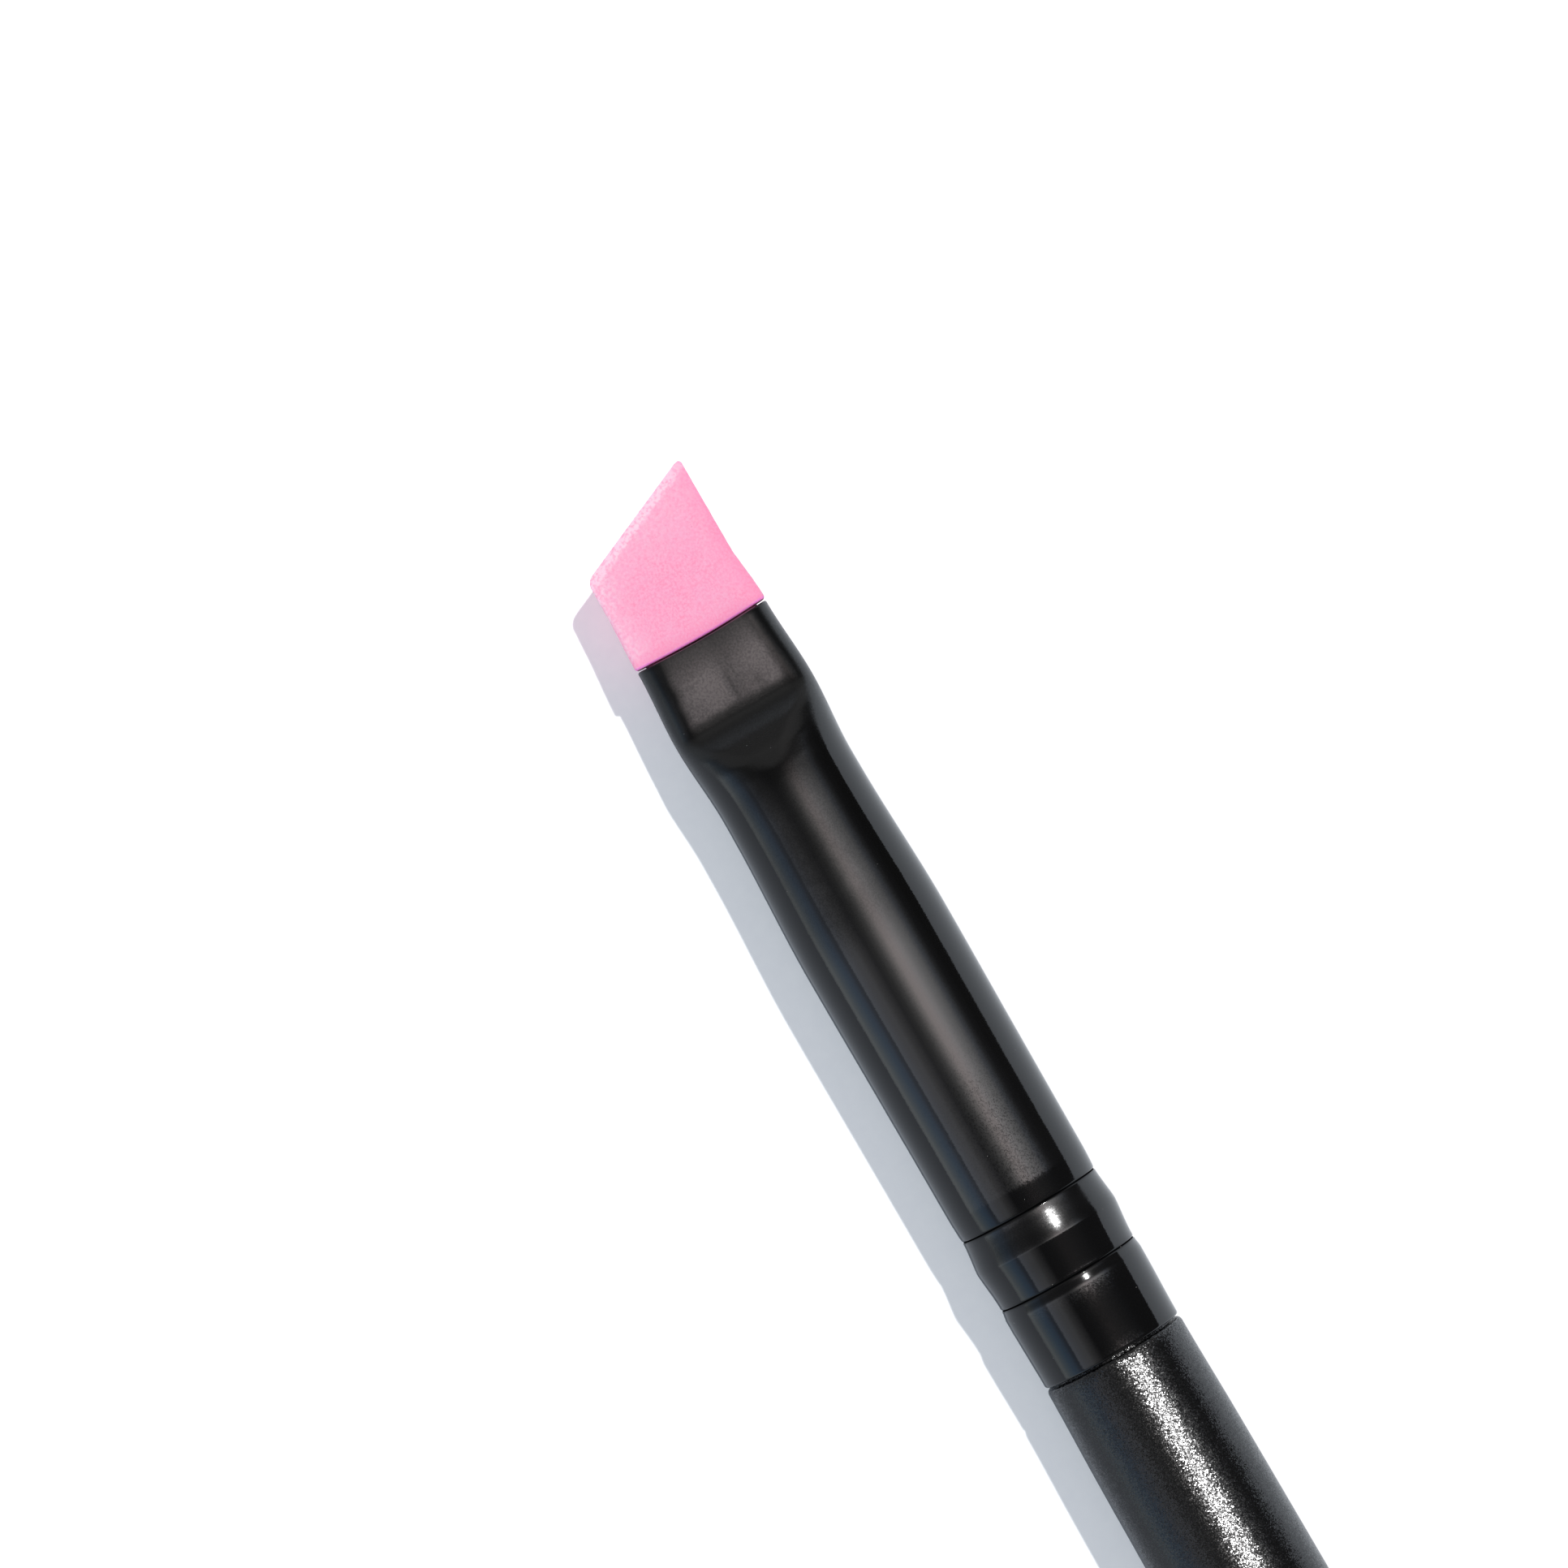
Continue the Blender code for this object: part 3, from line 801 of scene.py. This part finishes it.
class Nodes:
    """Short ways of making and joining the nodes of one tree."""

    def __init__(self, tree):
        self.tree = tree
        self.tree.nodes.clear()

    def add(self, kind, **settings):
        node = self.tree.nodes.new(kind)
        for name, value in settings.items():
            setattr(node, name, value)
        return node

    def put(self, value, socket):
        """Sets a socket, or joins another node's output to it."""
        if isinstance(value, bpy.types.NodeSocket):
            self.tree.links.new(value, socket)
        elif isinstance(value, tuple) and len(value) == 3 and len(socket.default_value) == 4:
            socket.default_value = (*value, 1.0)
        else:
            socket.default_value = value

    def math(self, operation, first, second=0.0):
        node = self.add("ShaderNodeMath", operation=operation)
        self.put(first, node.inputs[0])
        self.put(second, node.inputs[1])
        return node.outputs[0]

    def vector(self, operation, first, second=(0.0, 0.0, 0.0)):
        node = self.add("ShaderNodeVectorMath", operation=operation)
        self.put(first, node.inputs[0])
        self.put(second, node.inputs[1])
        return node.outputs[0]

    def scaled(self, vector, amount):
        node = self.add("ShaderNodeVectorMath", operation="SCALE")
        self.put(vector, node.inputs[0])
        self.put(amount, node.inputs["Scale"])
        return node.outputs[0]

    def remap(self, value, low, high, to_low=0.0, to_high=1.0, soft=False):
        """Stretches a range of values to another one, and clamps what is outside."""
        node = self.add("ShaderNodeMapRange", interpolation_type="SMOOTHSTEP" if soft else "LINEAR")
        names = ("Value", "From Min", "From Max", "To Min", "To Max")
        for name, setting in zip(names, (value, low, high, to_low, to_high)):
            self.put(setting, node.inputs[name])
        return node.outputs["Result"]

    def mix(self, share, first, second, blend="MIX"):
        node = self.add("ShaderNodeMix", data_type="RGBA", blend_type=blend)
        self.put(share, node.inputs["Factor"])
        self.put(first, node.inputs[6])
        self.put(second, node.inputs[7])
        return node.outputs[2]

    def position(self):
        """The position in the frame, in metres."""
        return self.add("ShaderNodeTexCoord").outputs["Object"]

    def noise(self, size, detail=2.0, stretch=None):
        """Noise with features of a size in millimetres. A stretch lengthens them along X, Y and Z."""
        where = self.position()
        if stretch:
            where = self.vector("DIVIDE", where, stretch)
        node = self.add("ShaderNodeTexNoise")
        self.put(where, node.inputs["Vector"])
        self.put(1 / (size * MM), node.inputs["Scale"])
        self.put(detail, node.inputs["Detail"])
        return node.outputs["Fac"]

    def cells(self, size):
        """A Voronoi texture with cells of a size in millimetres."""
        node = self.add("ShaderNodeTexVoronoi")
        self.put(self.position(), node.inputs["Vector"])
        self.put(1 / (size * MM), node.inputs["Scale"])
        return node

    def specks(self, size, radius, share):
        """1 on small round specks, in a share of the cells of a size, and 0 elsewhere."""
        cells = self.cells(size)
        chosen = self.math("LESS_THAN", self.red(cells.outputs["Color"]), share)
        near = self.math("LESS_THAN", cells.outputs["Distance"], radius / size)
        return self.math("MULTIPLY", chosen, near)

    def red(self, colour):
        """The red of a colour, as a number."""
        node = self.add("ShaderNodeSeparateColor")
        self.put(colour, node.inputs[0])
        return node.outputs[0]

    def tilted(self, colour, amount, normal=None):
        """The surface's normal, pushed about by a colour."""
        if normal is None:
            normal = self.add("ShaderNodeNewGeometry").outputs["Normal"]
        push = self.scaled(self.vector("SUBTRACT", colour, MID_GREY), amount)
        return self.vector("NORMALIZE", self.vector("ADD", normal, push))

    def bump(self, height, depth, normal=None):
        """A bump whose height of 1 is a depth in millimetres."""
        node = self.add("ShaderNodeBump")
        self.put(height, node.inputs["Height"])
        self.put(1.0, node.inputs["Strength"])
        self.put(depth * MM, node.inputs["Distance"])
        if normal is not None:
            self.put(normal, node.inputs["Normal"])
        return node.outputs["Normal"]

    def attribute(self, name):
        return self.add("ShaderNodeAttribute", attribute_name=name).outputs["Fac"]

    def principled(self, **settings):
        """The surface's shader, joined to the output."""
        shader = self.add("ShaderNodeBsdfPrincipled")
        for name, value in settings.items():
            self.put(value, shader.inputs[name.replace("_", " ")])
        output = self.add("ShaderNodeOutputMaterial")
        self.put(shader.outputs[0], output.inputs["Surface"])
        return shader


def new_material(name):
    material = bpy.data.materials.new(name)
    material.use_nodes = True
    return material, Nodes(material.node_tree)


def silicone_material():
    """Pink translucent silicone: deeper where it is thick, painted paler as sheen where it thins out, with a
    painted highlight on its base's rim, painted shade in the gap at its base, and a fine mottle.
    """
    material, n = new_material("pink_silicone")
    mottle = n.remap(n.noise(0.11, 3.0), 0.32, 0.68)
    cloud = n.remap(n.noise(1.3, 2.0), 0.3, 0.7)
    grains = n.remap(n.noise(0.15, 3.0), 0.38, 0.62, 0.3, 1.5)
    colour = n.mix(mottle, PINK, PINK_MOTTLE)
    colour = n.mix(n.math("MULTIPLY", cloud, 0.35), colour, PINK_CLOUD)
    # Painted sheen where the silicone is thin, on its left and along the streak, broken into grains
    colour = n.mix(n.math("MULTIPLY", n.attribute("pale"), grains), colour, PALE_SHEEN_PINK)
    colour = n.mix(n.math("MULTIPLY", n.attribute("deep"), 0.55), colour, DEEP_PINK)
    # Painted highlight on the rounded rim at the blade's base
    colour = n.mix(n.math("MULTIPLY", n.attribute("rim"), 0.85), colour, RIM_HIGHLIGHT_PINK)
    colour = n.mix(n.math("MULTIPLY", n.specks(0.5, 0.026, 0.14), 0.4), colour, SPECK_PINK)
    # Painted shade in the gap at the blade's base
    colour = n.mix(n.attribute("gap"), colour, GAP_SHADE)
    grain = n.bump(n.noise(0.07, 3.0), 0.006)
    shader = n.principled(
        Base_Color=colour,
        Roughness=n.remap(mottle, 0.0, 1.0, 0.5, 0.62),
        Specular_IOR_Level=0.15,
        Subsurface_Weight=0.6,
        Subsurface_Scale=0.6 * MM,
        Normal=grain,
        IOR=1.41,
    )
    shader.inputs["Subsurface Radius"].default_value = SILICONE_SCATTER
    return material


def lacquer_material():
    """Black lacquer with a fine orange peel and a little dust. It is satin where the tube was pressed, with
    a painted brownish reflection there, and its gloss is turned off as painted shade in the grooves and at
    the pressed corners.
    """
    material, n = new_material("black_lacquer")
    peel = n.bump(n.noise(0.9, 1.0), 0.0018)
    satin = n.attribute("satin")
    normal = n.tilted(n.cells(0.05).outputs["Color"], n.remap(satin, 0.0, 1.0, 0.014, 0.06), peel)
    dust = n.math("MAXIMUM", n.specks(0.8, 0.022, 0.1), n.specks(0.3, 0.014, 0.03))
    smear = n.remap(n.noise(2.5, 3.0, stretch=(5.0, 1.0, 1.0)), 0.35, 0.75, 0.0, 0.03)
    gloss = n.math("ADD", n.remap(satin, 0.0, 1.0, 0.06, 0.3), smear)
    grain = n.remap(n.noise(0.1, 3.0), 0.35, 0.65, 0.72, 1.28)
    # The painted reflection on the pressed faces, broken into grains
    haze = n.math("MULTIPLY", n.attribute("haze"), grain)
    n.principled(
        Base_Color=n.mix(dust, n.mix(haze, LACQUER_BLACK, LACQUER_PAINTED_REFLECTION), DUST),
        Roughness=n.math("ADD", gloss, n.math("MULTIPLY", dust, 0.4)),
        # The gloss is turned off as painted shade in the grooves and at the pressed corners
        Specular_IOR_Level=n.remap(n.attribute("score"), 0.0, 0.8, 0.5, 0.0),
        IOR=1.5,
        Normal=normal,
    )
    return material


def paint_material():
    """Black paint full of fine flakes. Each has its own tilt, so the key light breaks up into sparkle."""
    material, n = new_material("black_sparkle_paint")
    flakes = n.cells(0.036)
    coarse = n.cells(0.09)
    normal = n.tilted(flakes.outputs["Color"], n.remap(n.attribute("rim"), 0.0, 1.0, 0.25, 0.5))
    normal = n.tilted(coarse.outputs["Color"], 0.05, normal)
    normal = n.bump(n.noise(0.8, 2.0), 0.004, normal)
    shade = n.red(flakes.outputs["Color"])
    n.principled(
        Base_Color=n.mix(shade, PAINT_DARK, PAINT_LIGHT),
        Roughness=n.remap(shade, 0.0, 1.0, 0.17, 0.22),
        IOR=1.5,
        Normal=normal,
    )
    return material


def epoxy_material():
    """Yellowish cast resin, with clouds and small bubbles."""
    material, n = new_material("clear_epoxy")
    cloud = n.remap(n.noise(0.9, 3.0), 0.35, 0.7)
    bubbles = n.specks(0.5, 0.06, 0.3)
    n.principled(
        Base_Color=n.mix(bubbles, n.mix(cloud, EPOXY_YELLOW, EPOXY_CLOUD), EPOXY_BUBBLE),
        Roughness=n.remap(cloud, 0.0, 1.0, 0.12, 0.3),
        Subsurface_Weight=0.3,
        Subsurface_Scale=0.5 * MM,
        Normal=n.bump(n.noise(0.3, 2.0), 0.01),
    )
    return material


def glue_material():
    """Dried wood glue: cream, matt and uneven."""
    material, n = new_material("wood_glue")
    streaks = n.remap(n.noise(0.5, 3.0, stretch=(4.0, 1.0, 1.0)), 0.3, 0.7)
    n.principled(
        Base_Color=n.mix(streaks, GLUE_DARK, GLUE_LIGHT),
        Roughness=n.remap(streaks, 0.0, 1.0, 0.4, 0.65),
        Normal=n.bump(n.noise(0.25, 3.0), 0.02),
    )
    return material


def floor_material():
    """Plain matt white card. Where the brush's gloss reflects it, its colour is painted darker as painted
    shade, most on the near side.
    """
    material, n = new_material("white_card")
    tooth = n.remap(n.noise(0.6, 3.0), 0.3, 0.7)
    card = n.mix(tooth, CARD_DARK, CARD_LIGHT)
    mirrored = n.add("ShaderNodeLightPath").outputs["Is Glossy Ray"]
    where = n.add("ShaderNodeSeparateXYZ")
    n.put(n.position(), where.inputs[0])
    side = n.remap(where.outputs["Y"], -REFLECTED_CARD_SHADE_CHANGE * MM, REFLECTED_CARD_SHADE_CHANGE * MM)
    n.principled(
        Base_Color=n.mix(mirrored, card, n.mix(side, REFLECTED_CARD_SHADE_NEAR, REFLECTED_CARD_SHADE_FAR)),
        Roughness=0.95,
        Specular_IOR_Level=0.0,
    )
    return material


def ramp(n, value, stops):
    """A colour ramp over an angle. Each stop has an angle in degrees, and a colour or a share."""
    first, last = stops[0][0], stops[-1][0]
    node = n.add("ShaderNodeValToRGB")
    elements = node.color_ramp.elements
    while len(elements) < len(stops):
        elements.new(1.0)
    for element, (at, _) in zip(elements, stops):
        element.position = (at - first) / (last - first)
    for element, (_, light) in zip(elements, stops):
        colour = light if isinstance(light, tuple) else (light, light, light)
        element.color = (*colour, 1.0)
    n.put(n.remap(value, math.radians(first), math.radians(last)), node.inputs[0])
    return node.outputs[0]


def make_studio():
    """The studio round the brush: an even fill light, and the bands of light that its gloss reflects. What
    the camera sees of it is plain white."""
    world = bpy.data.worlds.new("studio")
    world.use_nodes = True
    world.cycles.sampling_method = "NONE"
    bpy.context.scene.world = world
    n = Nodes(world.node_tree)
    direction = n.add("ShaderNodeSeparateXYZ")
    n.put(n.add("ShaderNodeTexCoord").outputs["Generated"], direction.inputs[0])
    across = n.math("ARCTAN2", direction.outputs["Y"], direction.outputs["Z"])
    tilt = n.math("ARCSINE", direction.outputs["X"])
    bands = ramp(n, tilt, AMBIENCE)
    lit = ((FRONT_LIGHT, FRONT_LIGHT_REACH), (WINDOW, WINDOW_REACH), (SKY_CARD, SKY_CARD_REACH))
    for stops, reach in lit:
        light = n.mix(1.0, ramp(n, across, stops), ramp(n, tilt, reach), "MULTIPLY")
        bands = n.mix(1.0, bands, light, "ADD")
    path = n.add("ShaderNodeLightPath")
    side = n.remap(direction.outputs["Y"], *FILL_SIDE_CHANGE, soft=True)
    front = n.remap(direction.outputs["X"], *FILL_FRONT_CHANGE, 1.0, 0.0, soft=True)
    fill = n.mix(side, FILL_NEAR_SIDE, n.mix(front, FILL_FAR_SIDE, FILL_FAR_FRONT))
    seen = n.mix(path.outputs["Is Glossy Ray"], fill, bands)
    seen = n.mix(path.outputs["Is Camera Ray"], seen, WHITE)
    background = n.add("ShaderNodeBackground")
    n.put(seen, background.inputs["Color"])
    n.put(background.outputs[0], n.add("ShaderNodeOutputWorld").inputs["Surface"])


def light_only(light, *objects):
    """The light falls on these objects alone."""
    receivers = bpy.data.collections.new(light.name)
    for thing in objects:
        receivers.objects.link(thing)
    light.light_linking.receiver_collection = receivers


def add_light(name, kind, where, direction, energy, colour=WHITE):
    """A light in a place. Its direction points from what it lights to the light."""
    data = bpy.data.lights.new(name, kind)
    data.energy = energy
    data.color = colour
    made = bpy.data.objects.new(name, data)
    made.rotation_mode = "QUATERNION"
    made.rotation_quaternion = direction.to_track_quat("Z", "Y")
    made.location = where
    bpy.context.scene.collection.objects.link(made)
    return made


def make_key_light(name, direction, strength, *objects):
    """A small hard key light, as strong as it should be on these objects."""
    made = add_light(name, "SUN", direction, direction, strength)
    made.data.angle = KEY_ANGLE
    light_only(made, *objects)


def make_crimp_glint(ferrule):
    """A snooted lamp in line with the key light, which picks out the crimps."""
    where = Vector(place((GLINT_STATION, 0.0, 0.0))) + KEY_DIRECTION * GLINT_DISTANCE
    made = add_light("crimp_glint", "SPOT", where, KEY_DIRECTION, GLINT_POWER)
    made.data.shadow_soft_size = GLINT_DISTANCE * math.tan(KEY_ANGLE / 2)
    made.data.spot_size = GLINT_CONE
    made.data.spot_blend = GLINT_BLEND
    made.visible_camera = False
    light_only(made, ferrule)


def make_tip_bounce(floor):
    """The pink light that comes through the translucent blade onto the floor."""
    above = Vector((0.0, 0.0, 1.0))
    made = add_light("tip_bounce", "AREA", place(BOUNCE_CENTRE), above, BOUNCE_POWER, BOUNCE_COLOUR)
    made.data.shape = "RECTANGLE"
    made.data.size = BOUNCE_LENGTH * MM
    made.data.size_y = BOUNCE_WIDTH * MM
    made.visible_camera = False
    made.visible_glossy = False
    light_only(made, floor)


def make_floor(material):
    data = bpy.data.meshes.new("floor")
    corners = [(FLOOR_REACH * x, FLOOR_REACH * y, 0.0) for x, y in ((-1, -1), (1, -1), (1, 1), (-1, 1))]
    data.from_pydata(corners, [], [(0, 1, 2, 3)])
    data.materials.append(material)
    made = bpy.data.objects.new("floor", data)
    bpy.context.scene.collection.objects.link(made)
    return made


def make_camera():
    data = bpy.data.cameras.new("camera")
    data.lens = LENS
    data.sensor_width = SENSOR
    made = bpy.data.objects.new("camera", data)
    x, y, z = place((VIEW_STATION, VIEW_ACROSS, 0.0))
    made.location = (x, y, z + VIEW_WIDTH * MM * LENS / SENSOR)
    made.rotation_euler = (0.0, 0.0, VIEW_TURN)
    data.clip_start = CLIP_START
    bpy.context.scene.collection.objects.link(made)
    bpy.context.scene.camera = made


def fit(piece, slot, *nodes):
    """The piece rides on the brush's body and stands for its CAD nodes, which are hidden. The slot is not
    used.
    """
    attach(piece, "brush_body")
    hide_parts(*nodes)


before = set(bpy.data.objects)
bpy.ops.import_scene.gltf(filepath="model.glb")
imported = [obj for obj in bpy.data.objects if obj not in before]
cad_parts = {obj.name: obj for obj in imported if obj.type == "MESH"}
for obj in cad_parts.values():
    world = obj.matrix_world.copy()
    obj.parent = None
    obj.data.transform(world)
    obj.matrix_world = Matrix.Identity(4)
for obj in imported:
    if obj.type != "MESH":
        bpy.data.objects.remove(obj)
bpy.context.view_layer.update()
handle_low, handle_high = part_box("handle")
MOUTH_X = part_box("ferrule")[0].x
AXIS_Z = (handle_low.z + handle_high.z) / 2

bpy.context.scene.view_settings.view_transform = "Standard"
make_camera()
make_studio()
floor = make_floor(floor_material())

ferrule = make_ferrule(lacquer_material())
fit(ferrule, "lacquered_ferrule", "ferrule")
handle = make_handle(paint_material())
fit(handle, "painted_handle", "handle")
epoxy = make_tip_epoxy(epoxy_material())
fit(epoxy, "epoxy", "tip_epoxy")
glue = make_tenon_glue(glue_material())
fit(glue, "glue", "tenon_glue")

tip = make_silicone_tip(silicone_material())
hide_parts("tip_blade", "tip_root")
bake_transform(tip)

make_key_light("key", KEY_DIRECTION, KEY_STRENGTH, floor, tip, epoxy, glue)
make_key_light("key_on_handle", HANDLE_KEY_DIRECTION, HANDLE_KEY_STRENGTH, handle)
make_crimp_glint(ferrule)
make_tip_bounce(floor)
